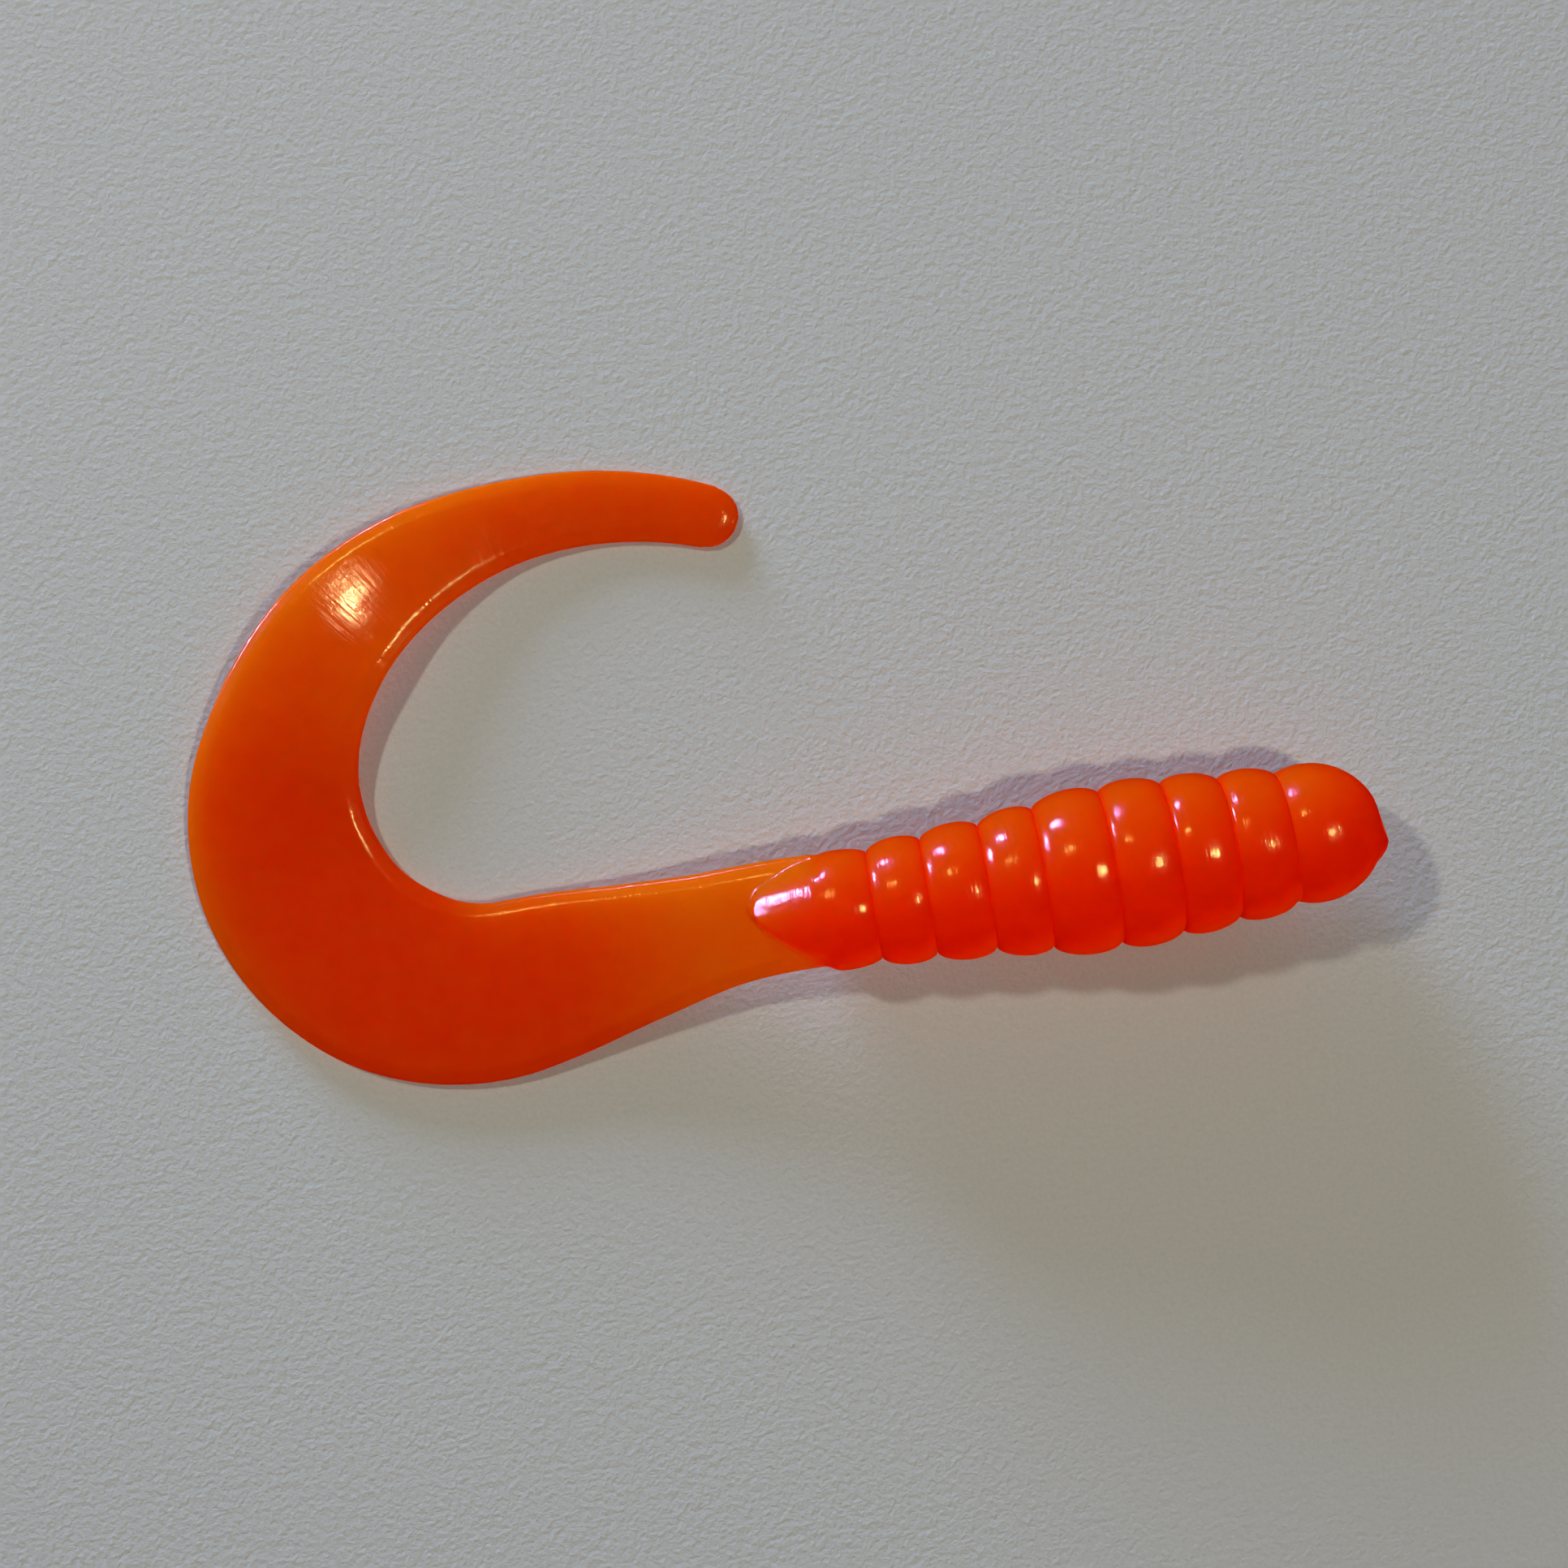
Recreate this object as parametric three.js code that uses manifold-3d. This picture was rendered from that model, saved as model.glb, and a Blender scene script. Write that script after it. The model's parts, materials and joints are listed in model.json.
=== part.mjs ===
// Soft plastic grub: a ribbed fishing-lure worm with a long flat tail curled into a C.
// Millimetres, +Z up. It lies on a flat surface, with its nose towards +X.
// The real lure is one flexible moulding. It is divided here where it flexes: at each groove
// of the ribbed body, and every TAIL_STEP along the tail.
import * as THREE from 'three';
import { mergeVertices } from 'three/addons/utils/BufferGeometryUtils.js';
import Module from 'manifold-3d';

const wasm = await Module();
wasm.setup();

// ---- Body -------------------------------------------------------------------------------
// Grooves between the rings, from the tail root to the nose: distance along the body's axis
// and radius at the bottom of the groove.
const GROOVES = [
  [0.0, 4.4], [3.5, 4.5], [8.0, 4.8], [12.85, 5.15], [17.4, 5.75],
  [22.95, 6.25], [28.0, 6.1], [32.65, 5.7], [37.3, 5.35],
];
const RING_BULGE = 0.125;        // how far a ring swells past its grooves, over its width
const BODY_TILT_DEG = 2.5;       // the nose rides a little higher than the tail root
const ROOT_AXIS_HEIGHT = 5.81;   // height of the axis at the tail root's groove
const NOSE_TURN_DEG = 3;         // the nose lies bent a little towards the tail's curl
const NOSE_CREST_AT = 2.2;       // widest part of the nose, ahead of the last groove
const NOSE_RADIUS = 5.7;
const GATE_RADIUS = 1.8;         // the flat mark left where the moulding's sprue was cut
const GATE_PROUD = 0.3;
const GATE_DRAFT = 0.1;          // taper of the mark's edge
const ROUND_STEPS = 28;          // facets round the body
const RING_ARC_STEPS = 4;        // facets from one groove to the next
const DOME_STEPS = 8;

// ---- Tail -------------------------------------------------------------------------------
// Centre line seen from above: runs of [length, turn in degrees] that meet in line.
const TAIL_START_Y = 0.2;
const TAIL_START_HEADING_DEG = 177;
const TAIL_RUNS = [[10, 10], [17, 0], [32.6, -116.5], [22.6, -50], [26.8, -47.5]];
const TAIL_LENGTH = 109;
// Distance along the tail, width, thickness, height of the mid-plane, lift of the inner edge
// in degrees.
const TAIL_STATIONS = [
  [0, 9.2, 2.4, 5.8, 0],
  [8, 9.6, 2.1, 4.4, 0],
  [16, 11.6, 1.9, 2.7, 0],
  [24, 14.1, 1.9, 1.4, 0],
  [32, 15.4, 1.9, 0.95, 0],
  [40, 16.3, 1.9, 0.95, 0],
  [48, 16.1, 1.9, 0.95, 0],
  [56, 14.9, 1.8, 1.3, 1],
  [64, 12.7, 1.7, 2.3, 3],
  [72, 11.1, 1.6, 2.9, 4],
  [80, 9.3, 1.5, 2.2, 2],
  [90, 7.0, 1.4, 1.1, 0],
  [100, 5.9, 1.3, 0.65, 0],
  [109, 5.1, 1.3, 0.65, 0],
];
const EDGE_BEVEL = 1.2;          // width of the bevel along both edges of the tail
const BEVEL_SHARE = 0.6;         // most of the half width that a bevel may take
const EDGE_FLAT = 0.35;          // height left at the edge, over the thickness
const TIP_HALF_WIDTH = 0.6;      // left square at the very end of the rounded tip
const TAIL_FIRST_JOINT = 11;
const TAIL_STEP = 10;            // length of one flexing section
const TAIL_SLICES = 6;           // slices along one section
const WEDGE_LENGTH = 6.4;        // the round body fades onto the flat tail over this length
const WEDGE_TIP_RADIUS = 0.9;
const WEDGE_TIP_LENGTH = 0.2;
const WEDGE_SHOULDERS = [[0.66, 0.56], [0.33, 0.85]];   // share of its length, and of its radius
const ROOT_SLICES = 5;           // slices of the tail's first length, which carries the wedge
const ROOT_SETBACK = 0.15;       // how much further back the ribbon starts than the wedge

// ---- Flexing ----------------------------------------------------------------------------
const GAP = 0.3;                 // between two body rings at the axis
const BODY_CONE_DEG = 4.5;       // slope of a ring's end faces, half of what a groove can bend
const TAIL_GAP = 0.4;
const TAIL_OPEN_DEG = 7.5;       // slope of a section's end at the outer edge of the curl
const TAIL_CLOSE_DEG = 3.5;      // and at its inner edge

const PLASTISOL = { color: 0xd93a05, roughness: 0.25, metalness: 0 };

const radians = THREE.MathUtils.degToRad;
const grub = new THREE.Group();
grub.name = 'soft_plastic_grub';

function addPart(name, geometry, parent) {
  const mesh = new THREE.Mesh(geometry, new THREE.MeshStandardMaterial(PLASTISOL));
  mesh.name = name;
  parent.add(mesh);
}

// ---- Body pieces ------------------------------------------------------------------------
// The body group's own X runs along the body's axis, with X = 0 at the tail root's groove.
const body = new THREE.Group();
body.rotation.y = -radians(BODY_TILT_DEG);
body.position.z = ROOT_AXIS_HEIGHT;
grub.add(body);

// A solid of revolution about X from [x, radius] points that start and end on the axis,
// given from the tail side to the nose side.
function turned(profile) {
  const points = profile.map(([x, radius]) => new THREE.Vector2(radius, x));
  const geometry = new THREE.LatheGeometry(points, ROUND_STEPS);
  geometry.rotateZ(-Math.PI / 2);
  return geometry;
}

// Where a ring's conical end face stands at a radius, away from the groove's plane.
function coneSetback(radius) {
  return GAP / 2 + radius * Math.tan(radians(BODY_CONE_DEG));
}

// Points of the arc that bulges outwards from one groove to the next.
function ringArc([x0, r0], [x1, r1]) {
  const width = x1 - x0;
  const start = coneSetback(r0) / width;
  const end = 1 - coneSetback(r1) / width;
  const arc = [];
  for (let i = 0; i <= RING_ARC_STEPS; i += 1) {
    const t = start + (end - start) * (i / RING_ARC_STEPS);
    const bulge = 4 * RING_BULGE * width * t * (1 - t);
    arc.push([x0 + width * t, r0 + (r1 - r0) * t + bulge]);
  }
  return arc;
}

function ring(groove, nextGroove) {
  return turned([
    [groove[0] + GAP / 2, 0],
    ...ringArc(groove, nextGroove),
    [nextGroove[0] - GAP / 2, 0],
  ]);
}

// The round nose, measured from the last groove: a short shoulder, then a dome that ends in
// the flat gate mark.
function nose() {
  const [, grooveRadius] = GROOVES[GROOVES.length - 1];
  const shoulderRise = 0.15;
  const shoulder = [coneSetback(grooveRadius), grooveRadius + shoulderRise];
  const profile = [[GAP / 2, 0], shoulder];
  const gateAngle = Math.asin(GATE_RADIUS / NOSE_RADIUS);
  for (let i = 0; i <= DOME_STEPS; i += 1) {
    const angle = Math.PI / 2 + (gateAngle - Math.PI / 2) * (i / DOME_STEPS);
    profile.push([NOSE_CREST_AT + NOSE_RADIUS * Math.cos(angle), NOSE_RADIUS * Math.sin(angle)]);
  }
  const gateFace = NOSE_CREST_AT + NOSE_RADIUS * Math.cos(gateAngle) + GATE_PROUD;
  profile.push([gateFace, GATE_RADIUS - GATE_DRAFT], [gateFace, 0]);
  return turned(profile);
}

// ---- Tail pieces ------------------------------------------------------------------------
// A smooth curve through one column of the stations. It never overshoots them, so level
// stretches stay level.
function stationValue(column, s) {
  const rows = TAIL_STATIONS;
  const last = rows.length - 1;
  let k = 0;
  while (k < last - 1 && s > rows[k + 1][0]) k += 1;
  const secant = (i) => (rows[i + 1][column] - rows[i][column]) / (rows[i + 1][0] - rows[i][0]);
  const slope = (i) => {
    const before = secant(Math.max(i - 1, 0));
    const after = secant(Math.min(i, last - 1));
    return before * after > 0 ? (2 * before * after) / (before + after) : 0;
  };
  const step = rows[k + 1][0] - rows[k][0];
  const t = (s - rows[k][0]) / step;
  const rise = rows[k + 1][column] - rows[k][column];
  const blend = t * t * (3 - 2 * t);
  const startPull = t * (1 - t) * (1 - t) * slope(k) * step;
  const endPull = t * t * (t - 1) * slope(k + 1) * step;
  return rows[k][column] + rise * blend + startPull + endPull;
}

// Plan position and heading of the centre line at distance s.
function centreLine(s) {
  let x = 0;
  let y = TAIL_START_Y;
  let heading = radians(TAIL_START_HEADING_DEG);
  let left = s;
  for (const [length, turnDeg] of [...TAIL_RUNS, [Infinity, 0]]) {
    const along = Math.min(left, length);
    const turn = turnDeg === 0 ? 0 : radians(turnDeg) * (along / length);
    const chord = turn === 0 ? along : (2 * along * Math.sin(turn / 2)) / turn;
    x += chord * Math.cos(heading + turn / 2);
    y += chord * Math.sin(heading + turn / 2);
    heading += turn;
    left -= along;
    if (left <= 0) break;
  }
  return { x, y, heading };
}

// Position of the ribbon's middle, with its directions: along, across to the outer side, up.
function ribbonFrame(s) {
  const { x, y, heading } = centreLine(s);
  const reach = 0.05;            // the rise is measured this far to both sides
  const rise = (stationValue(3, s + reach) - stationValue(3, s - reach)) / (2 * reach);
  const along = new THREE.Vector3(Math.cos(heading), Math.sin(heading), rise).normalize();
  const level = new THREE.Vector3(-Math.sin(heading), Math.cos(heading), 0);
  const across = level.applyAxisAngle(along, -radians(stationValue(4, s)));
  const up = new THREE.Vector3().crossVectors(along, across);
  return { middle: new THREE.Vector3(x, y, stationValue(3, s)), along, across, up };
}

// The ribbon's section as [across, up] points: flat faces with bevelled edges.
function ribbonSection(s, halfWidth) {
  const half = stationValue(2, s) / 2;
  const bevel = Math.min(EDGE_BEVEL, halfWidth * BEVEL_SHARE);
  const edge = half * EDGE_FLAT;
  return [
    [-halfWidth, -edge], [-halfWidth + bevel, -half], [0, -half], [halfWidth - bevel, -half],
    [halfWidth, -edge], [halfWidth, edge], [halfWidth - bevel, half], [0, half],
    [-halfWidth + bevel, half], [-halfWidth, edge],
  ];
}

// Half the ribbon's width, rounded off at the tail's tip.
function halfWidthAt(s) {
  const tipRadius = TAIL_STATIONS[TAIL_STATIONS.length - 1][1] / 2;
  const past = Math.max(0, s - (TAIL_LENGTH - tipRadius)) / tipRadius;
  const round = Math.sqrt(Math.max(0, 1 - past * past));
  return Math.max(TIP_HALF_WIDTH, (stationValue(1, s) / 2) * round);
}

// How far a section's end stands back at a distance across, so that the curl can bend.
function curlSetback(across) {
  const slope = across > 0 ? TAIL_OPEN_DEG : TAIL_CLOSE_DEG;
  return Math.abs(across) * Math.tan(radians(slope));
}

// One closed piece of ribbon from s0 to s1. Each end is square or a shallow V.
function ribbon(s0, s1, startIsV, endIsV, slices) {
  const positions = [];
  let count = 0;                 // points in one section
  for (let i = 0; i <= slices; i += 1) {
    const t = i / slices;
    const s = s0 + (s1 - s0) * t;
    const frame = ribbonFrame(s);
    const section = ribbonSection(s, halfWidthAt(s));
    count = section.length;
    for (const [across, up] of section) {
      const back = curlSetback(across);
      const shift = (startIsV ? back * (1 - t) : 0) - (endIsV ? back * t : 0);
      const point = frame.middle.clone()
        .addScaledVector(frame.across, across)
        .addScaledVector(frame.up, up)
        .addScaledVector(frame.along, shift);
      positions.push(point.x, point.y, point.z);
    }
  }
  const index = [];
  for (let i = 0; i < slices; i += 1) {
    for (let j = 0; j < count; j += 1) {
      const a = i * count + j;
      const b = i * count + ((j + 1) % count);
      index.push(a, b, a + count, b, b + count, a + count);
    }
  }
  // The end caps are strips between the lower and the upper points.
  const capStart = slices * count;
  for (let j = 0; j < count / 2 - 1; j += 1) {
    const upper = count - 1 - j;
    index.push(j, upper, j + 1, j + 1, upper, upper - 1);
    index.push(capStart + j, capStart + j + 1, capStart + upper);
    index.push(capStart + j + 1, capStart + upper - 1, capStart + upper);
  }
  const geometry = new THREE.BufferGeometry();
  geometry.setAttribute('position', new THREE.Float32BufferAttribute(positions, 3));
  geometry.setIndex(index);
  return geometry;
}

function toSolid(geometry) {
  const mergeDistance = 1e-4;
  const bare = geometry.clone();
  bare.deleteAttribute('normal');
  bare.deleteAttribute('uv');
  const merged = mergeVertices(bare, mergeDistance);
  return new wasm.Manifold(new wasm.Mesh({
    numProp: 3,
    vertProperties: new Float32Array(merged.attributes.position.array),
    triVerts: new Uint32Array(merged.index.array),
  }));
}

function fromSolid(solid) {
  const mesh = solid.getMesh();
  const geometry = new THREE.BufferGeometry();
  geometry.setAttribute('position', new THREE.BufferAttribute(mesh.vertProperties, 3));
  geometry.setIndex(new THREE.BufferAttribute(mesh.triVerts, 1));
  return geometry;
}

// The tail root: the round body runs out in a wedge on both faces of the flat ribbon.
function tailRoot() {
  const [, r0] = GROOVES[0];
  const wedge = turned([
    [-WEDGE_LENGTH - WEDGE_TIP_LENGTH, 0],
    [-WEDGE_LENGTH, WEDGE_TIP_RADIUS],
    ...WEDGE_SHOULDERS.map(([along, radius]) => [-WEDGE_LENGTH * along, r0 * radius]),
    [-coneSetback(r0), r0],
    [-GAP / 2, 0],
  ]);
  body.updateMatrix();
  wedge.applyMatrix4(body.matrix);
  const from = coneSetback(r0) + ROOT_SETBACK;
  const start = ribbon(from, TAIL_FIRST_JOINT - TAIL_GAP / 2, false, false, ROOT_SLICES);
  return fromSolid(toSolid(wedge).add(toSolid(start)));
}

// ---- Assembly ---------------------------------------------------------------------------
const noseTurn = new THREE.Group();
noseTurn.position.x = GROOVES[GROOVES.length - 1][0];
noseTurn.rotation.z = radians(NOSE_TURN_DEG);
body.add(noseTurn);
addPart('nose', nose(), noseTurn);
for (let i = GROOVES.length - 2; i >= 0; i -= 1) {
  addPart(`body_ring_${GROOVES.length - 1 - i}`, ring(GROOVES[i], GROOVES[i + 1]), body);
}
addPart('tail_root', tailRoot(), grub);

// Tail sections. Their joints flap up and down and curl sideways by turns, flap first.
const sectionCount = Math.ceil((TAIL_LENGTH - TAIL_FIRST_JOINT) / TAIL_STEP);
for (let i = 0; i < sectionCount; i += 1) {
  const isTip = i === sectionCount - 1;
  const s0 = TAIL_FIRST_JOINT + i * TAIL_STEP + TAIL_GAP / 2;
  const s1 = isTip ? TAIL_LENGTH : TAIL_FIRST_JOINT + (i + 1) * TAIL_STEP - TAIL_GAP / 2;
  const startCurls = i % 2 === 1;
  const name = isTip ? 'tail_tip' : `tail_section_${i + 1}`;
  addPart(name, ribbon(s0, s1, startCurls, !startCurls && !isTip, TAIL_SLICES), grub);
}

// The origin is under the middle of the lure, on the surface that it lies on.
grub.updateMatrixWorld(true);
const box = new THREE.Box3().setFromObject(grub, true);
const centre = box.getCenter(new THREE.Vector3());
grub.position.set(-centre.x, -centre.y, -box.min.z);

export default grub;
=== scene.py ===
# Looks of the soft plastic worm: one continuous skin of moulded plastic, divided into pieces,
# one for each joint of the imported frame.
import json
import math

import bpy
import numpy as np
from mathutils import Matrix, Vector

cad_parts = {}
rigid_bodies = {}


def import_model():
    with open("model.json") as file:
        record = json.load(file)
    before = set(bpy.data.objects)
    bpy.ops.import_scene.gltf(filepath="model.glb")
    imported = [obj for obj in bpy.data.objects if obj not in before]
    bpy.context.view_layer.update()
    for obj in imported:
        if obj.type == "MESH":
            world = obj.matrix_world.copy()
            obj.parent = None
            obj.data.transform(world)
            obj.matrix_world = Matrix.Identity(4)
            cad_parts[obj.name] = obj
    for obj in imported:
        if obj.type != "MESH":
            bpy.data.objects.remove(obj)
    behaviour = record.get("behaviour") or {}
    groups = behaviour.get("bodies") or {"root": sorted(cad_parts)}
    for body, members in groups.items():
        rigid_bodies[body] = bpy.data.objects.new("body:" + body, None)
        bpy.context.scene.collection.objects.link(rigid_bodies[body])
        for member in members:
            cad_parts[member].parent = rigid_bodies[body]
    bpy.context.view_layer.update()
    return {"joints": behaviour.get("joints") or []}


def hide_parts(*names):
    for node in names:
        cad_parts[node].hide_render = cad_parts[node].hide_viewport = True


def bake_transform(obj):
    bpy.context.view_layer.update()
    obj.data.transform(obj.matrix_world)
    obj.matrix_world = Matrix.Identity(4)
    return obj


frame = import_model()

MM = 0.001

# ---- Shape, as in the CAD: millimetres, X = 0 at the tail root's groove ------------------
GROOVES = [
    (0.0, 4.4), (3.5, 4.5), (8.0, 4.8), (12.85, 5.15), (17.4, 5.75),
    (22.95, 6.25), (28.0, 6.1), (32.65, 5.7), (37.3, 5.35),
]
BODY_TILT = math.radians(2.5)   # the body's axis rises this much towards the nose
ROOT_AXIS_HEIGHT = 5.81
CREASE_DEPTH = 0.16             # how much sharper a groove is than the CAD's
RING_SWELL = 0.172              # height of a ring's swelling, as a share of its length
RING_FULLNESS = 0.58            # power of its profile: 0.5 is an ellipse, 1 a parabola
LAST_CREST = (0.8, 4.95)        # place and radius of the last ring's crest
LAST_FALL = 0.085               # how fast the last ring falls from there to the wedge

NOSE_TURN = math.radians(3)     # the nose's axis turns sideways from the body's
NOSE_CREST_AT = 2.2             # its widest place, from the first groove
NOSE_RADIUS = 5.7
NOSE_TUCK = 5                   # power: how late its shoulder turns in to the groove
GATE_RADIUS = 1.85              # flat scar where the sprue was cut
GATE_AT = 7.92                  # the scar's middle, from the first groove
GATE_LEAN = (0.145, 0.26)       # how much its face leans sideways and upwards
GATE_BETWEEN = (7.2, 8.13)      # the scar stays between these distances
GATE_LIP = 0.35                 # width of the rim around it on its low side
GATE_FOOT = 3.5                 # the rim's radius on its high side, where it meets the dome
GATE_RIM_TURN = 1.5             # power: how the rim widens round the scar
GATE_ROWS_PAST = 1.05           # the fine rows go this much further than the rim
SCAR_BLUR = 0.3                 # width over which the scar's roughness fades out

TAIL_START_Y = 0.2
TAIL_START_HEADING = math.radians(177)
# length and turn in degrees of each arc of the centre line
TAIL_RUNS = [(10, 10), (17, 0), (32.6, -116.5), (22.6, -50), (26.8, -47.5)]
TAIL_LENGTH = 109.0
SLOPE_REACH = 0.05              # the tail's slope is measured over this much each way
TAIL_LAST_FRAME = TAIL_LENGTH - 0.06    # the last place where it can be measured so
# distance along, width, thickness, height of the middle, tilt in degrees
TAIL_STATIONS = [
    (0, 9.2, 2.4, 5.8, 0),
    (8, 9.6, 2.1, 4.4, 0),
    (16, 11.6, 1.9, 2.7, 0),
    (24, 14.1, 1.9, 1.4, 0),
    (32, 15.4, 1.9, 0.95, 0),
    (40, 16.3, 1.9, 0.95, 0),
    (48, 16.1, 1.9, 0.95, 0),
    (56, 14.9, 1.8, 1.3, 1),
    (64, 12.7, 1.7, 2.3, 3),
    (72, 11.1, 1.6, 2.9, 4),
    (80, 9.3, 1.5, 2.2, 2),
    (90, 7.0, 1.4, 1.1, 0),
    (100, 5.9, 1.3, 0.65, 0),
    (109, 5.1, 1.3, 0.65, 0),
]
TAIL_FIRST_JOINT = 11.0
TAIL_STEP = 10.0                # from one tail joint to the next
EDGE_BEVEL = 1.15               # width of the bevel along the ribbon's edges
EDGE_FLAT = 0.42                # height of the bevel's foot, as a share of the thickness
EDGE_ROUND = 0.3                # width of the rounding at that foot
BEVEL_CORNERS = (0.3, 0.06)     # how round the bevel's top and foot corners are
CROWN = 0.12                    # how much the ribbon's top stands up in its middle
TIP_POINT = 0.001               # half width of the tip's last row

WEDGE_START = 1.2               # up to here the round body is still the last ring
WEDGE_END = 6.3
WEDGE_HALF_WIDTH = 4.55
WEDGE_TAPER = 0.34              # its outer half narrows this much more, per mm
WEDGE_SLOPE = 0.55              # fall of its top, per mm
WEDGE_TURN = 0.155              # its inner flank turns towards the tail's middle, per mm
WEDGE_TURN_WIDTH = 1.2          # width over which that turn sets in
WEDGE_TIP_ASIDE = 0.9           # its tip lies towards the inner side
WEDGE_SIDES = 9                 # power: how steep its sides are
STEM_END = 8.5                  # where the first tail piece starts

BEND_REACH = 4.6                # half the longest stretch over which a piece bends
BEND_CLEARANCE = 0.05           # the bend ends this far short of a piece's end rows
ACROSS_JOINT = 0.6              # rows this far on each side give a joint's direction

# ---- Fineness of the skin ----------------------------------------------------------------
AROUND = 160
NOSE_ROWS = 46
RING_ROWS = 22
TIP_ROWS = 16
TAIL_ROW_STEP = 0.5
STEM_ROW_STEP = 0.2

# ---- Painted light: colour that stands in for daylight in the plastic, 0 deep red, 1 pale orange ---
FLAT_LIGHT = 0.33               # the ribbon where it lies on the floor
RAISED_LIGHT = 0.45             # painted light: more where its underside is raised off the paper
RAISED_BETWEEN = (0.4, 2.8)
TIP_LIGHT = 0.15                # more towards the tip
TIP_LIGHT_BETWEEN = (68, 88)
EDGE_LIGHT = 0.75               # painted light: more along the edges that face the window
EDGE_LIGHT_DEPTH = 1.8
EDGE_FACING = (1.25, 0.05)      # gain and offset of how far an edge faces it
EDGE_FACING_LEAST = 0.16
BODY_LIGHT = (0.03, 0.64)       # painted light on the round body, turned away from and towards the window
BODY_LIGHT_POWER = 3.3
UNDER_LIGHT = 0.5               # painted light bounced from the paper, in the flank turned away
UNDER_BELOW = 0.42
UNDER_FADE = 0.3
WINDOW_RISE = (0.9, 0.44)       # the window's level and upward shares, seen from the body
WEDGE_LIGHT_HEIGHT = 3.2        # a wedge this tall takes the body's painted light
WEDGE_LIGHT_REACH = 3           # and so is the stem, up to here

PHOTO_TURN = math.radians(9.3)  # the picture's right is this far clockwise of +X
WINDOW_AZIMUTH = math.radians(119) - PHOTO_TURN
EDGE_LIGHT_AZIMUTH = math.radians(150)


def level_direction(azimuth):
    return Vector((math.cos(azimuth), math.sin(azimuth), 0))


def vec(v):
    """An array from a Blender vector or a tuple."""
    return np.array(v, float)


def smoothstep(t):
    """Rises from 0 to 1 with level ends."""
    t = np.clip(t, 0, 1)
    return t * t * (3 - 2 * t)


def smooth_max(a, b, radius):
    """The larger of two values, with a rounded corner where they cross."""
    mix = np.clip((a - b) / radius * 0.5 + 0.5, 0, 1)
    return b + (a - b) * mix + radius * mix * (1 - mix)


def station(column, s):
    """A smooth curve through one column of the stations, without overshoot."""
    stops = TAIL_STATIONS
    last = len(stops) - 1
    k = 0
    while k < last - 1 and s > stops[k + 1][0]:
        k += 1

    def secant(i):
        return (stops[i + 1][column] - stops[i][column]) / (stops[i + 1][0] - stops[i][0])

    def slope(i):
        before = secant(max(i - 1, 0))
        after = secant(min(i, last - 1))
        return 2 * before * after / (before + after) if before * after > 0 else 0

    step = stops[k + 1][0] - stops[k][0]
    t = (s - stops[k][0]) / step
    rise = stops[k + 1][column] - stops[k][column]
    return (
        stops[k][column]
        + rise * t * t * (3 - 2 * t)
        + t * (1 - t) ** 2 * slope(k) * step
        + t * t * (t - 1) * slope(k + 1) * step
    )


def centre_line(s):
    """Plan position and heading of the tail's centre line at distance s."""
    x, y, heading, left = 0.0, TAIL_START_Y, TAIL_START_HEADING, s
    for length, turn_deg in [*TAIL_RUNS, (math.inf, 0)]:
        along = min(left, length)
        turn = math.radians(turn_deg) * along / length if turn_deg else 0
        chord = 2 * along * math.sin(turn / 2) / turn if turn else along
        x += chord * math.cos(heading + turn / 2)
        y += chord * math.sin(heading + turn / 2)
        heading += turn
        left -= along
        if left <= 0:
            break
    return x, y, heading


def ribbon_frame(s):
    """Middle of the tail at distance s, and its directions: along, to the outer side, up."""
    x, y, heading = centre_line(s)
    rise = station(3, s + SLOPE_REACH) - station(3, s - SLOPE_REACH)
    rise /= 2 * SLOPE_REACH
    along = Vector((math.cos(heading), math.sin(heading), rise)).normalized()
    across = Vector((-math.sin(heading), math.cos(heading), 0))
    across = Matrix.Rotation(-math.radians(station(4, s)), 3, along) @ across
    return Vector((x, y, station(3, s))), along, across, along.cross(across)


BODY_AXIS = Vector((math.cos(BODY_TILT), 0, math.sin(BODY_TILT)))
BODY_UP = Vector((-math.sin(BODY_TILT), 0, math.cos(BODY_TILT)))
ROOT = Vector((0, 0, ROOT_AXIS_HEIGHT))
# Each row runs from the curl's outer side over the top to its inner side and back below.
ANGLES = np.linspace(0, 2 * math.pi, AROUND, endpoint=False)
COS, SIN = np.cos(ANGLES), np.sin(ANGLES)

# Places and radii of the grooves. The one at X = 0 doesn't show, so it has no radius.
RING_ENDS = [(0, 0)] + [(x, radius - CREASE_DEPTH) for x, radius in GROOVES[1:]]


def ring_radius(x):
    """Radius of the ribbed body at a distance along its axis."""
    crest, crest_radius = LAST_CREST
    if x < crest:
        return crest_radius - LAST_FALL * (crest - x) ** 2
    first_end, first_radius = RING_ENDS[1]
    if x < first_end:
        part = 1 - ((x - crest) / (first_end - crest)) ** 2
        return first_radius + (crest_radius - first_radius) * part**RING_FULLNESS
    for (x0, r0), (x1, r1) in zip(RING_ENDS, RING_ENDS[1:]):
        if x <= x1:
            t = min(max((x - x0) / (x1 - x0), 0), 1)
            swell = RING_SWELL * (x1 - x0) * (4 * t * (1 - t)) ** RING_FULLNESS
            return r0 + (r1 - r0) * t + swell
    return RING_ENDS[-1][1]


def rows_between(start, end, count):
    """Distances from start to end that crowd together at both ends."""
    crowding = 0.75
    crowded = (1 - np.cos(np.linspace(0, math.pi, count + 1))) / 2
    t = crowding * crowded + (1 - crowding) * np.linspace(0, 1, count + 1)
    return start + (end - start) * t


# The skin, row by row from the nose to the tip of the tail: its points, the painted daylight
# that its colour carries, how far it belongs to the round body, the sprue's scar, and the
# row's place: its distance from the last groove, less than 0 towards the nose.
rows, painted_daylight, roundness, scarred, path = [], [], [], [], []
creases = set()                 # rows that are sharp, at the grooves


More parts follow.
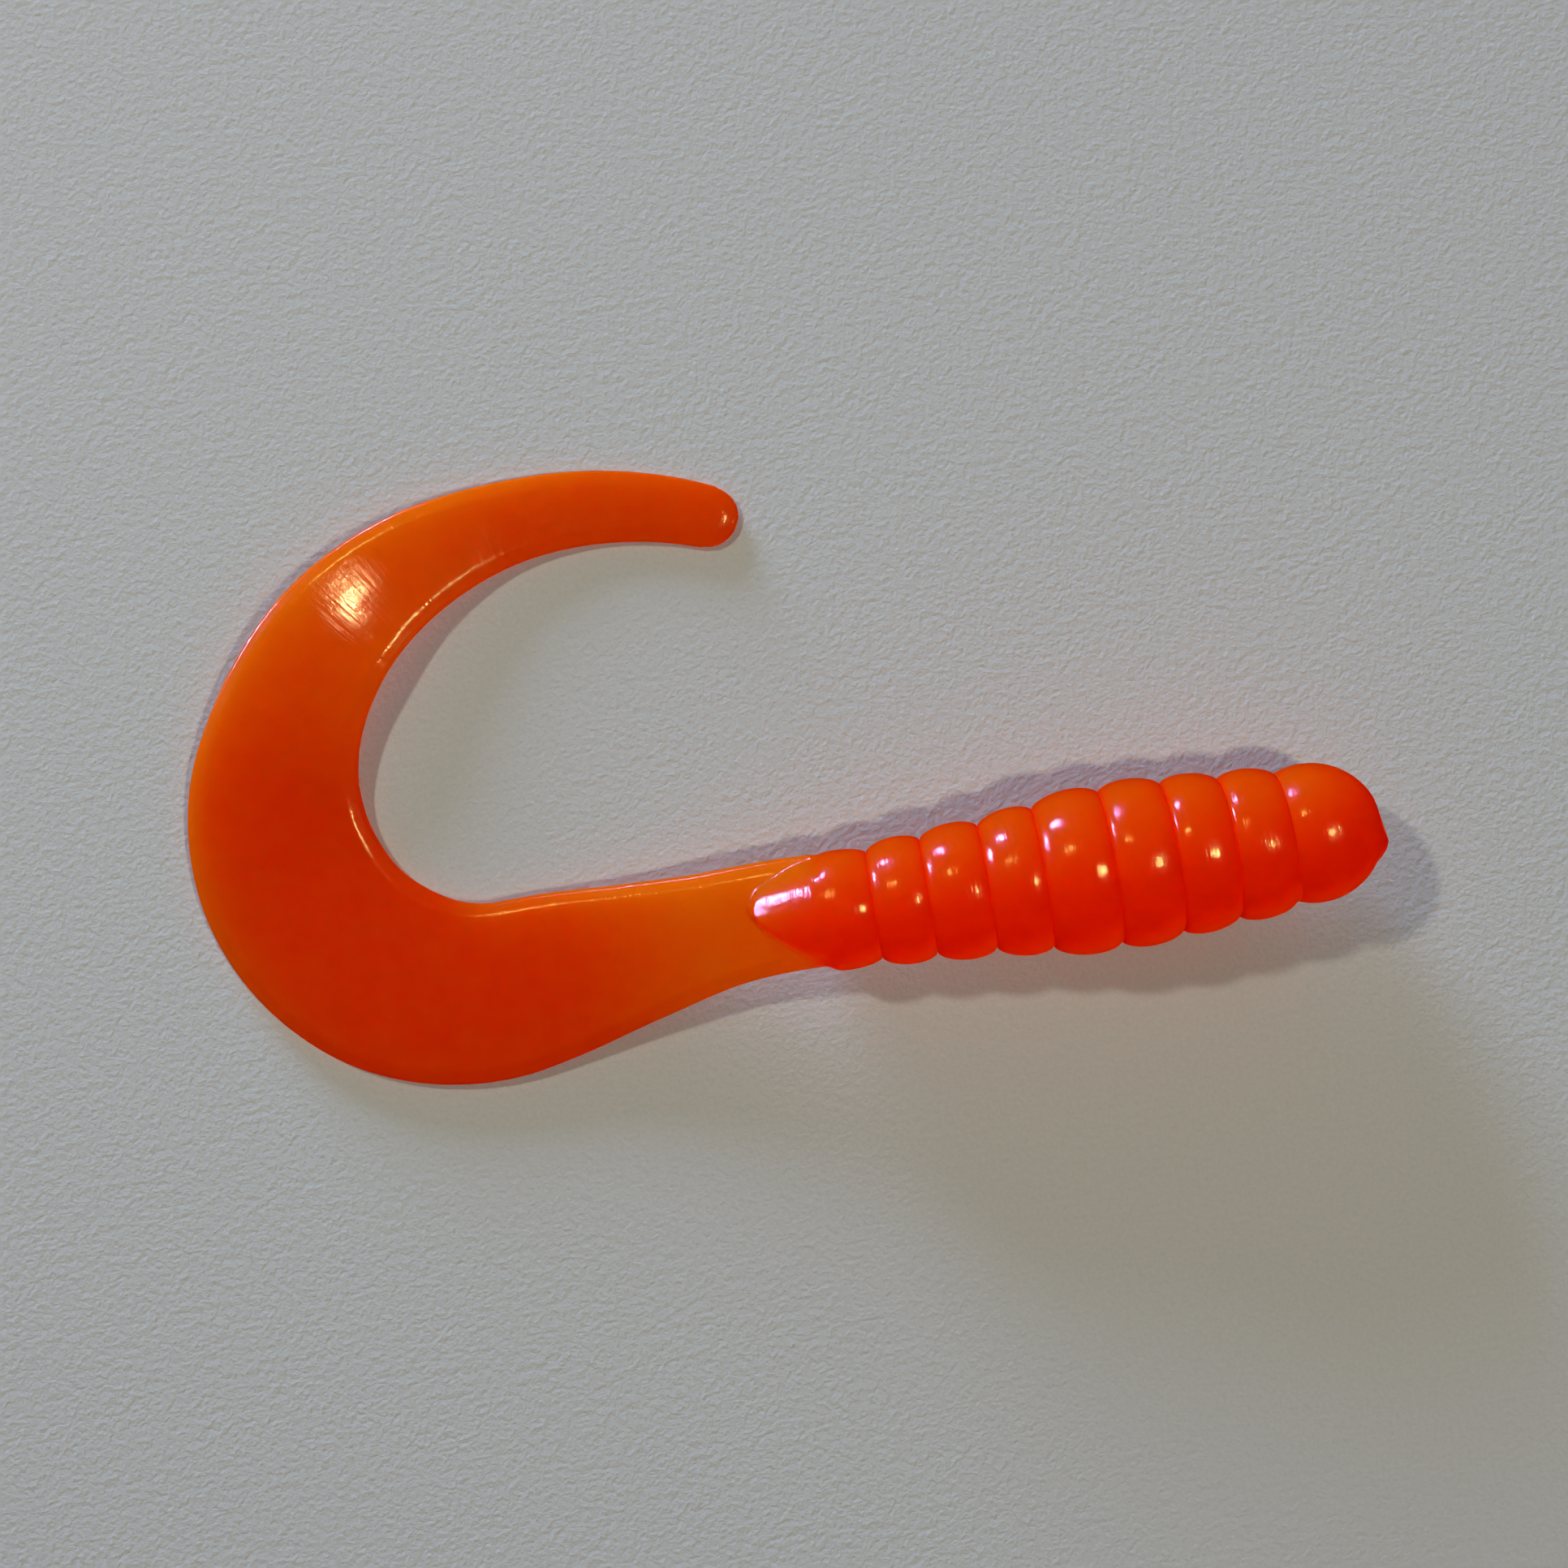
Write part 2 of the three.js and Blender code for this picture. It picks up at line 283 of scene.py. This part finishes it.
def add_row(points, place, light=0.0, body=1.0, scar=0.0):
    rows.append(points)
    for store, value in ((painted_daylight, light), (roundness, body), (scarred, scar)):
        store.append(np.broadcast_to(value, (AROUND,)).copy())
    path.append(place)


def body_circle(x, radius):
    """A row of the round body, at a distance along its axis."""
    return (
        vec(ROOT + BODY_AXIS * x)
        + np.outer(-radius * COS, (0, 1, 0))
        + np.outer(radius * SIN, vec(BODY_UP))
    )


def add_nose():
    """From the tip to the first groove."""
    hinge_x, groove_radius = RING_ENDS[-1]
    axis = Matrix.Rotation(NOSE_TURN, 3, BODY_UP) @ BODY_AXIS
    side = BODY_UP.cross(axis)
    hinge = ROOT + BODY_AXIS * hinge_x

    def add_nose_row(radius, reach, scar=0.0):
        points = (
            vec(hinge)
            + np.outer(np.broadcast_to(reach, (AROUND,)), vec(axis))
            + np.outer(-radius * COS, vec(side))
            + np.outer(radius * SIN, vec(BODY_UP))
        )
        add_row(points, -(hinge_x + float(np.mean(reach))), scar=scar)

    # The dome, cut off by the scar's face. Between the scar and its foot lies a rim.
    low_foot = GATE_RADIUS + GATE_LIP
    foot = low_foot + (GATE_FOOT - low_foot) * np.clip(COS, 0, 1) ** GATE_RIM_TURN
    foot_angle = math.asin(GATE_FOOT / NOSE_RADIUS) * GATE_ROWS_PAST
    fine = np.linspace(0, foot_angle, NOSE_ROWS // 2)[1:]
    coarse = np.linspace(foot_angle, math.pi / 2, NOSE_ROWS // 2)[1:]
    for angle in [0, *fine, *coarse]:
        radius = NOSE_RADIUS * math.sin(angle)
        dome = NOSE_CREST_AT + NOSE_RADIUS * math.cos(angle)
        aside, upward = GATE_LEAN
        cut = np.clip(GATE_AT + aside * radius * COS - upward * radius * SIN, *GATE_BETWEEN)
        inside = np.clip((foot - radius) / (foot - GATE_RADIUS), 0, 1)
        flat = smoothstep((GATE_RADIUS + SCAR_BLUR / 2 - radius) / SCAR_BLUR)
        add_nose_row(radius, dome + (cut - dome) * inside, flat)
    # The shoulder, from the crest back to the groove's circle on the body's own axis.
    shoulder = math.sqrt(NOSE_RADIUS**2 - NOSE_CREST_AT**2)
    for t in rows_between(0, 1, NOSE_ROWS // 3)[1:]:
        radius = math.sqrt(NOSE_RADIUS**2 - (NOSE_CREST_AT * t) ** 2)
        radius += (groove_radius - shoulder) * t**NOSE_TUCK
        add_nose_row(radius, NOSE_CREST_AT * (1 - t))
    creases.add(len(rows) - 1)


def add_rings():
    """From the first groove to X = 0, where the wedge carries the last ring on."""
    for k in range(len(RING_ENDS) - 1, 0, -1):
        for x in rows_between(RING_ENDS[k][0], RING_ENDS[k - 1][0], RING_ROWS)[1:]:
            add_row(body_circle(x, ring_radius(x)), -x)
        if k > 1:
            creases.add(len(rows) - 1)


def share(value, span):
    """How far a value lies along a span, from 0 to 1."""
    low, high = span
    return min(max((value - low) / (high - low), 0), 1)


def ribbon_light(s, side, half, across):
    """Painted light in the ribbon's colour: most at edges that face the window and where it is
    raised.
    """
    underside = station(3, s) - station(2, s) / 2
    light = FLAT_LIGHT + RAISED_LIGHT * share(underside, RAISED_BETWEEN)
    light += TIP_LIGHT * float(smoothstep(share(s, TIP_LIGHT_BETWEEN)))
    gain, offset = EDGE_FACING
    for sign in (1, -1):
        edge_facing = gain * sign * across.dot(level_direction(EDGE_LIGHT_AZIMUTH)) + offset
        edge_facing = min(max(edge_facing, EDGE_FACING_LEAST), 1)
        distance = np.clip(half - sign * side, 0, None)
        light = light + EDGE_LIGHT * edge_facing * np.exp(-distance / EDGE_LIGHT_DEPTH)
    return light


def add_tail():
    """The ribbon. Over its first lengths the round body runs out on it as a wedge."""
    tip_radius = TAIL_STATIONS[-1][1] / 2
    tip_start = TAIL_LENGTH - tip_radius
    stem = np.arange(STEM_ROW_STEP, STEM_END - 0.01, STEM_ROW_STEP)
    ribbon = np.arange(STEM_END, tip_start, TAIL_ROW_STEP)
    round_end = tip_start + tip_radius * np.sin(np.linspace(0, math.pi / 2, TIP_ROWS))
    for s in [*stem, *ribbon, *round_end]:
        middle, _, across, up = ribbon_frame(min(s, TAIL_LAST_FRAME))
        half_thickness = station(2, s) / 2
        past = max(0, s - tip_start)
        half = station(1, s) / 2
        if past > 0:
            half = math.sqrt(max(tip_radius**2 - past**2, TIP_POINT**2))
        side = half * COS
        edge = tip_radius - np.hypot(side, past) if past > 0 else half - np.abs(side)
        edge = np.clip(edge, 0, None)       # distance in from the ribbon's outline
        level = EDGE_FLAT + (1 - EDGE_FLAT) * smooth_ramp(edge / EDGE_BEVEL)
        level *= np.sqrt(1 - (1 - np.clip(edge / EDGE_ROUND, 0, 1)) ** 2)
        lift = np.where(SIN >= 0, 1, -1) * half_thickness * level
        crown = CROWN * smoothstep(edge / half) * (SIN >= 0)
        points = vec(middle) + np.outer(side, vec(across)) + np.outer(lift + crown, vec(up))
        light = ribbon_light(s, side, station(1, min(s, tip_start)) / 2, across)
        body = 0.0
        if s < WEDGE_END:
            points, body = with_wedge(s, points)
        add_row(points, s, light, body)


def smooth_ramp(t):
    """Rises from 0 to 1 in a straight line with small rounded corners."""
    top_corner, foot_corner = BEVEL_CORNERS
    below_top = -smooth_max(-t, -1.0, top_corner)
    return np.clip(smooth_max(below_top, 0.0, foot_corner), 0, 1)


def with_wedge(s, points):
    """Swells a section of the ribbon to the wedge that the round body runs out in.

    Returns the points, and how far each takes the round body's painted light rather than the
    ribbon's.
    """
    y = points[:, 1]
    end = math.sqrt(1 - (s / WEDGE_END) ** 2)           # its outline closes in an ellipse
    aside = y - WEDGE_TIP_ASIDE * (s / WEDGE_END) ** 2
    outer_half = WEDGE_HALF_WIDTH - WEDGE_TAPER * s
    reach = np.where(aside > 0, WEDGE_HALF_WIDTH, outer_half) * end
    across = np.clip(np.abs(aside) / reach, 0, 1)
    # The last ring's round top goes on straight and falls, with steep sides all round. The
    # half of the section below is worked out upside down, as if it were a top.
    past = max(s - WEDGE_START, 0)
    radius = ring_radius(-min(s, WEDGE_START))
    from_middle = y + WEDGE_TURN * past * smoothstep(y / WEDGE_TURN_WIDTH)
    axis_height = (ROOT - BODY_AXIS * s).z
    sign = np.where(SIN >= 0, 1, -1)
    ribbon = sign * points[:, 2]
    top = np.sqrt(np.clip(radius**2 - from_middle**2, 0, None))
    top += sign * axis_height - WEDGE_SLOPE * past
    swelling = np.clip(top - ribbon, 0, None) * (1 - across**WEDGE_SIDES)
    out = points.copy()
    out[:, 2] = sign * (ribbon + swelling)
    # Close to the groove the outline is the body's own circle.
    ring = body_circle(-s, ring_radius(-s))
    out = out + (ring - out) * float(smoothstep(1 - s / WEDGE_START))
    grown = np.abs(out[:, 2] - points[:, 2])
    by_height = smoothstep(grown / WEDGE_LIGHT_HEIGHT)
    return out, np.maximum(by_height, smoothstep(1 - s / WEDGE_LIGHT_REACH))


add_nose()
add_rings()
add_tail()

grid = np.array(rows)                     # row, place around, xyz in millimetres
path = np.array(path)
root_joint = next(j for j in frame["joints"] if j["name"] == "groove_9_nod")
root_pivot = vec(root_joint["pos_m"]) / MM
grid = grid + (root_pivot - vec(ROOT))
grid[:, :, 2] = np.maximum(grid[:, :, 2], 0)     # the soft belly lies flat on the floor
COUNT = len(grid)


def unit(v):
    return v / np.maximum(np.linalg.norm(v, axis=2, keepdims=True), 1e-12)


def skin_normals():
    """Normals of the whole skin at each row, as its faces before and after the row use them."""
    a, b = grid[:-1], grid[1:]
    a_next, b_next = np.roll(a, -1, axis=1), np.roll(b, -1, axis=1)
    strip = np.cross(a_next - b, b_next - a)
    strip = strip + np.roll(strip, 1, axis=1)
    before = np.concatenate([strip[:1], strip])
    after = np.concatenate([strip, strip[-1:]])
    before[0] = after[0] = before[0].sum(axis=0)
    before[-1] = after[-1] = before[-1].sum(axis=0)
    smooth = before + after
    for row in range(COUNT):
        if row not in creases:
            before[row] = after[row] = smooth[row]
    return unit(before), unit(after), unit(smooth)


before_row, after_row, normals = skin_normals()


def body_light():
    """Painted light in the round body's colour: paler as the skin faces the window, with painted
    light from the paper in the flank turned away.
    """
    level, upward = WINDOW_RISE
    window = level_direction(WINDOW_AZIMUTH) * level + Vector((0, 0, upward))
    facing = 0.5 + 0.5 * normals @ vec(window.normalized())
    least, more = BODY_LIGHT
    from_paper = UNDER_LIGHT * smoothstep((UNDER_BELOW - facing) / UNDER_FADE)
    return least + more * facing**BODY_LIGHT_POWER + from_paper


roundness, scarred = np.array(roundness), np.array(scarred)
# Painted daylight: the ribbon's on the tail, the window-facing shading on the round body.
painted_daylight = np.array(painted_daylight) * (1 - roundness) + body_light() * roundness


def make_piece(name, first, last, material):
    """One length of the skin, from row first to row last."""
    points = grid[first : last + 1].reshape(-1, 3) * MM
    faces, corners = [], []
    for i in range(last - first):
        for j in range(AROUND):
            k = (j + 1) % AROUND
            a, b = i * AROUND + j, i * AROUND + k
            faces.append((a, b, b + AROUND, a + AROUND))
            near, far = after_row[first + i], before_row[first + i + 1]
            corners += [near[j], near[k], far[k], far[j]]
    mesh = bpy.data.meshes.new(name)
    mesh.from_pydata(points.tolist(), [], faces)
    mesh.polygons.foreach_set("use_smooth", [True] * len(faces))
    for key, values in (("painted_daylight", painted_daylight), ("scar", scarred)):
        data = values[first : last + 1].ravel().astype(np.float32)
        mesh.attributes.new(key, "FLOAT", "POINT").data.foreach_set("value", data)
    along = np.repeat(path[first : last + 1], AROUND).astype(np.float32)
    mesh.attributes.new("along", "FLOAT", "POINT").data.foreach_set("value", along)
    rest = mesh.attributes.new("rest", "FLOAT_VECTOR", "POINT")
    rest.data.foreach_set("vector", points.astype(np.float32).ravel())
    mesh.normals_split_custom_set([tuple(c) for c in corners])
    piece = bpy.data.objects.new(name, mesh)
    bpy.context.scene.collection.objects.link(piece)
    mesh.materials.append(material)
    return piece


def row_at(place):
    """The row nearest to a place along the lure."""
    return int(np.argmin(np.abs(path - place)))


def join_skin(material):
    """Divides the skin half-way between the joints, works out how far each joint's bend could
    reach, and hides the CAD parts that each piece covers.
    """
    bodies = [frame["joints"][0]["parent"]] + [j["child"] for j in frame["joints"]]
    groove_places = [-x for x, _ in reversed(GROOVES)]
    tail_joints = len(frame["joints"]) - len(GROOVES)
    tail_places = [TAIL_FIRST_JOINT + TAIL_STEP * i for i in range(tail_joints)]
    places = groove_places + tail_places
    seams = [(a + b) / 2 for a, b in zip(places, places[1:])]
    seams[len(groove_places) - 1] = STEM_END
    cuts = [0] + [row_at(s) for s in seams] + [COUNT - 1]
    for k, joint in enumerate(frame["joints"]):
        first, last = cuts[k], cuts[k + 1]
        at_tip = k == len(frame["joints"]) - 1
        piece = make_piece(f"skin_{k + 1:02d}_{bodies[k]}", first, last, material)
        pivot = vec(joint["pos_m"])
        before = grid[row_at(places[k] - ACROSS_JOINT)].mean(axis=0)
        after = grid[row_at(places[k] + ACROSS_JOINT)].mean(axis=0)
        direction = (after - before) / np.linalg.norm(after - before)
        reach = BEND_REACH
        for row in ([first] if k else []) + ([] if at_tip else [last]):
            offset = (grid[row] - pivot / MM) @ direction
            reach = min(reach, float(np.abs(offset).min()) - BEND_CLEARANCE)
        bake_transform(piece)
        covers = [bodies[k], bodies[k + 1]] if at_tip else [bodies[k]]
        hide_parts(*covers)


# ---- Materials ---------------------------------------------------------------------------
class Nodes:
    """Adds and links the shader nodes of one material."""

    def __init__(self, material):
        material.use_nodes = True
        self.tree = material.node_tree
        self.tree.nodes.clear()

    def add(self, kind, **settings):
        node = self.tree.nodes.new(kind)
        for key, value in settings.items():
            setattr(node, key, value)
        return node

    def link(self, a, b):
        self.tree.links.new(a, b)

    def attribute(self, name):
        return self.add("ShaderNodeAttribute", attribute_type="GEOMETRY", attribute_name=name)

    def ramp(self, source, stops):
        node = self.add("ShaderNodeValToRGB")
        elements = node.color_ramp.elements
        while len(elements) < len(stops):
            elements.new(0.5)
        for element, (place, colour) in zip(elements, stops):
            element.position = place
            element.color = (*colour, 1)
        self.link(source, node.inputs["Fac"])
        return node.outputs["Color"]

    def span(self, source, low, high, to_low, to_high):
        """Maps a value from one span to another."""
        node = self.add("ShaderNodeMapRange")
        node.inputs["From Min"].default_value = low
        node.inputs["From Max"].default_value = high
        node.inputs["To Min"].default_value = to_low
        node.inputs["To Max"].default_value = to_high
        self.link(source, node.inputs["Value"])
        return node.outputs["Result"]

    def math(self, kind, a, b):
        node = self.add("ShaderNodeMath", operation=kind)
        for socket, value in zip(node.inputs, (a, b)):
            if isinstance(value, (int, float)):
                socket.default_value = value
            else:
                self.link(value, socket)
        return node.outputs[0]

    def noise(self, vector, scale, detail=2.0):
        node = self.add("ShaderNodeTexNoise")
        node.inputs["Scale"].default_value = scale
        node.inputs["Detail"].default_value = detail
        self.link(vector, node.inputs["Vector"])
        return node.outputs["Fac"]

    def combine(self, x, y):
        node = self.add("ShaderNodeCombineXYZ")
        self.link(x, node.inputs["X"])
        self.link(y, node.inputs["Y"])
        return node.outputs["Vector"]

    def bump(self, height, distance, normal=None):
        node = self.add("ShaderNodeBump")
        node.inputs["Strength"].default_value = 1.0
        node.inputs["Distance"].default_value = distance
        self.link(height, node.inputs["Height"])
        if normal:
            self.link(normal, node.inputs["Normal"])
        return node.outputs["Normal"]


GLOW_SHARE = 0.77               # how much of the light passes into the plastic
CLOUD_SCALE = 420.0             # noise scales are per metre
GRAIN_SCALE = 2600.0
DULLNESS_SCALE = 700.0
SCAR_SCALE = 5200.0
CLOUDINESS = 0.06
SCAR_LIGHT = 0.55
SCAR_DULLNESS = 0.3
GLOSS_BETWEEN = (0.13, 0.21)    # roughness of the moulded skin
WAVE_DEPTH = 0.00006            # metres, as all depths here
GRAIN_DEPTH = 0.000012
MARK_DEPTH = 0.000035
MARKS_ALONG = 2.6               # tool marks to a mm of tail
MARKS_ACROSS = 3.0


def plastisol_material():
    """Glossy soft plastic that light passes into; its colour is painted redder where less
    daylight would reach it and paler where more would.
    """
    material = bpy.data.materials.new("plastisol_orange")
    n = Nodes(material)
    rest = n.attribute("rest").outputs["Vector"]
    light = n.attribute("painted_daylight").outputs["Fac"]
    scar = n.attribute("scar").outputs["Fac"]
    along = n.attribute("along").outputs["Fac"]
    cloud = n.span(n.noise(rest, CLOUD_SCALE, 5.0), 0.25, 0.75, -CLOUDINESS, CLOUDINESS)
    light = n.math("ADD", light, cloud)
    light = n.math("ADD", light, n.math("MULTIPLY", scar, SCAR_LIGHT))
    # Colour from the painted daylight, with random clouds and the paler scar: deep red to pale
    # orange.
    colour = n.ramp(light, [
        (0.0, (0.88, 0.026, 0.0)),
        (0.25, (1.0, 0.06, 0.0)),
        (0.55, (1.0, 0.14, 0.0)),
        (1.0, (1.0, 0.3, 0.002)),
    ])
    shader = n.add("ShaderNodeBsdfPrincipled")
    n.link(colour, shader.inputs["Base Color"])
    dull = n.span(n.noise(rest, DULLNESS_SCALE, 4.0), 0.3, 0.7, *GLOSS_BETWEEN)
    dull = n.math("ADD", dull, n.math("MULTIPLY", scar, SCAR_DULLNESS))
    n.link(dull, shader.inputs["Roughness"])
    shader.inputs["IOR"].default_value = 1.5
    shader.inputs["Specular IOR Level"].default_value = 0.35
    # Soft waves of the moulded skin, its fine unevenness, tool marks across the tail.
    waves = n.bump(n.noise(rest, CLOUD_SCALE), WAVE_DEPTH)
    grain = n.bump(n.noise(rest, GRAIN_SCALE, 3.0), GRAIN_DEPTH, waves)
    place_across = n.math("MULTIPLY", light, MARKS_ACROSS)
    place = n.combine(n.math("MULTIPLY", along, MARKS_ALONG), place_across)
    marks = n.bump(n.noise(place, 1.0, 3.0), MARK_DEPTH, grain)
    scratches = n.math("MULTIPLY", n.noise(rest, SCAR_SCALE), scar)
    rough = n.bump(scratches, WAVE_DEPTH, marks)
    n.link(rough, shader.inputs["Normal"])
    glow = n.add("ShaderNodeBsdfTranslucent")
    n.link(colour, glow.inputs["Color"])
    mix = n.add("ShaderNodeMixShader")
    mix.inputs["Fac"].default_value = GLOW_SHARE
    n.link(shader.outputs["BSDF"], mix.inputs[1])
    n.link(glow.outputs["BSDF"], mix.inputs[2])
    output = n.add("ShaderNodeOutputMaterial")
    n.link(mix.outputs["Shader"], output.inputs["Surface"])
    return material


PAPER_TONE = (0.41, 0.42, 0.42)
PAPER_MOTTLE = 0.035            # how much its tone varies
PAPER_FINE_SCALE, PAPER_FINE_DEPTH = 2600.0, 0.00006
PAPER_COARSE_SCALE, PAPER_COARSE_DEPTH = 1500.0, 0.00013
FAR_FLOOR_BETWEEN = (0.25, 1.6)     # metres from the middle
FAR_FLOOR_LIGHT = 0.24


def paper_material():
    """Pale textured paper."""
    material = bpy.data.materials.new("paper")
    n = Nodes(material)
    place = n.add("ShaderNodeTexCoord").outputs["Object"]
    fine = n.noise(place, PAPER_FINE_SCALE, 3.0)
    coarse = n.noise(place, PAPER_COARSE_SCALE, 3.0)
    shader = n.add("ShaderNodeBsdfPrincipled")
    tone = n.ramp(fine, [
        (0.3, tuple((1 - PAPER_MOTTLE) * c for c in PAPER_TONE)),
        (0.7, tuple((1 + PAPER_MOTTLE) * c for c in PAPER_TONE)),
    ])
    n.link(tone, shader.inputs["Base Color"])
    shader.inputs["Roughness"].default_value = 0.9
    shader.inputs["Specular IOR Level"].default_value = 0.0
    # The far floor, out of the lamps' reach, stays as pale as the near one.
    radius = n.add("ShaderNodeVectorMath", operation="LENGTH")
    n.link(place, radius.inputs[0])
    far_light = n.span(radius.outputs["Value"], *FAR_FLOOR_BETWEEN, 0.0, FAR_FLOOR_LIGHT)
    n.link(far_light, shader.inputs["Emission Strength"])
    shader.inputs["Emission Color"].default_value = (0.98, 1.0, 1.0, 1)
    relief = n.bump(coarse, PAPER_COARSE_DEPTH)
    n.link(n.bump(fine, PAPER_FINE_DEPTH, relief), shader.inputs["Normal"])
    output = n.add("ShaderNodeOutputMaterial")
    n.link(shader.outputs["BSDF"], output.inputs["Surface"])
    return material


join_skin(plastisol_material())

# ---- Floor, lights and camera ------------------------------------------------------------
HALF_FLOOR = 3.0
FLOOR_DROP = 0.00002            # keeps it clear of the skin that lies on it
floor_mesh = bpy.data.meshes.new("floor")
corners = [(-1, -1), (1, -1), (1, 1), (-1, 1)]
floor_points = [(x * HALF_FLOOR, y * HALF_FLOOR, 0) for x, y in corners]
floor_mesh.from_pydata(floor_points, [], [(0, 1, 2, 3)])
floor_mesh.materials.append(paper_material())
floor = bpy.data.objects.new("floor", floor_mesh)
bpy.context.scene.collection.objects.link(floor)
floor.location.z = -FLOOR_DROP
floor.visible_glossy = False

CAMERA_HEIGHT = 0.190
CAMERA_OVER = (-2.2, 10.97, 0)  # it looks straight down here, from the root joint, in mm
camera_data = bpy.data.cameras.new("camera")
camera_data.sensor_width = 36
camera_data.lens = 51.52
camera_data.clip_start = 0.01
camera = bpy.data.objects.new("camera", camera_data)
bpy.context.scene.collection.objects.link(camera)
camera_place = (root_pivot + vec(CAMERA_OVER)) * MM
camera.location = (camera_place[0], camera_place[1], CAMERA_HEIGHT)
camera.rotation_euler = (0, 0, -PHOTO_TURN)
bpy.context.scene.camera = camera


def towards(polar_deg, picture_azimuth_deg):
    """A direction, by its angles from straight up and from the picture's right."""
    azimuth = math.radians(picture_azimuth_deg) - PHOTO_TURN
    polar = math.radians(polar_deg)
    return level_direction(azimuth) * math.sin(polar) + Vector((0, 0, math.cos(polar)))


MIDDLE = (0, 0, 0)
CURL = (-0.03, 0.01, 0)         # between the body and the curl
EVERYWHERE = 180                # a spread that isn't narrowed
GLINT_DISTANCE = 1.2


def area_lamp(name, direction, distance, size, colour, power, aim):
    """An oval lamp in a direction from the point that it is aimed at. Sizes are in metres."""
    data = bpy.data.lights.new(name, "AREA")
    data.shape = "ELLIPSE"
    data.size, data.size_y = size
    strongest = max(colour)
    data.color = [value / strongest for value in colour]
    data.energy = strongest * power
    lamp = bpy.data.objects.new(name, data)
    bpy.context.scene.collection.objects.link(lamp)
    lamp.location = Vector(aim) + direction * distance
    lamp.rotation_euler = direction.to_track_quat("Z", "Y").to_euler()
    return lamp


def soft_lamp(name, direction, distance, size, paper_light):
    """Lights colours and casts shadows. paper_light is how bright it makes the paper."""
    needed = [value / tone for value, tone in zip(paper_light, PAPER_TONE)]
    power = math.pi**2 * distance**2 / direction.z
    lamp = area_lamp(name, direction, distance, size, needed, power, MIDDLE)
    lamp.visible_glossy = False


def glint_lamp(name, direction, distance, size, radiance, spread_deg, aim):
    """Shows only as a reflection in the gloss."""
    area = math.pi / 4 * size[0] * size[1]
    lamp = area_lamp(name, direction, distance, size, radiance, math.pi * area, aim)
    lamp.data.spread = math.radians(spread_deg)
    lamp.visible_diffuse = False
    lamp.visible_transmission = False


def mirrored_lamp(name, place, across, distance, size, radiance, spread_deg):
    """A narrow lamp that one spot of the skin's top mirrors, across: -1 inner to 1 outer."""
    row = row_at(place)
    column = int(np.argmin(np.abs(COS - across) + (SIN < 0)))
    spot = Vector(grid[row, column] * MM)
    normal = Vector(normals[row, column])
    view = (camera.location - spot).normalized()
    mirror = 2 * normal.dot(view) * normal - view
    glint_lamp(name, mirror, distance, size, radiance, spread_deg, spot)


# name, degrees from straight up and from the picture's right, distance, size, paper's light
SOFT_LAMPS = [
    ("lamp_a", 25.6, -21.6, 0.7, (0.05, 0.05), (0.152, 0.140, 0.104)),
    ("lamp_b", 34.7, 144.4, 0.4, (0.027, 0.027), (0.122, 0.121, 0.100)),
    ("window", 80, 119, 2.4, (0.9, 0.8), (0.060, 0.086, 0.138)),
]
for name, polar, azimuth, distance, size, paper_light in SOFT_LAMPS:
    soft_lamp(name, towards(polar, azimuth), distance, size, paper_light)

# name, the same two angles, size, radiance, spread in degrees, the point that it is aimed at
GLINT_LAMPS = [
    ("lamp_a_glint", 24.1, 6.7, (0.21, 0.065), (760, 660, 200), EVERYWHERE, MIDDLE),
    ("lamp_b_glint", 40.6, 125, (0.1, 0.1), (420, 300, 60), EVERYWHERE, MIDDLE),
    ("window_glint", 86.5, 121, (0.25, 0.21), (2.1, 1.25, 2.7), 9.5, CURL),
    ("side_glint", 86, 152, (0.3, 0.12), (5.2, 3.4, 6.7), 14, CURL),
]
for name, polar, azimuth, size, radiance, spread, aim in GLINT_LAMPS:
    glint_lamp(name, towards(polar, azimuth), GLINT_DISTANCE, size, radiance, spread, aim)

# place along the tail and across it, distance, size, radiance, spread in degrees
mirrored_lamp("tail_glint", 75.0, 0.13, 0.3, (0.0035, 0.003), (3.4, 2.35, 1.0), 1.1)
mirrored_lamp("wedge_glint", 3.6, -0.3, 0.5, (0.042, 0.032), (0.55, 0.36, 0.7), 5.0)

# ---- The room's dim light ----------------------------------------------------------------
world = bpy.data.worlds.new("studio")
world.use_nodes = True
background = world.node_tree.nodes["Background"]
background.inputs["Color"].default_value = (0.9, 0.82, 1.0, 1)
background.inputs["Strength"].default_value = 0.075
bpy.context.scene.world = world
world.cycles_visibility.glossy = False
bpy.context.scene.view_settings.view_transform = "Standard"
bpy.context.scene.cycles.diffuse_bounces = 8
bpy.context.scene.cycles.use_light_tree = False
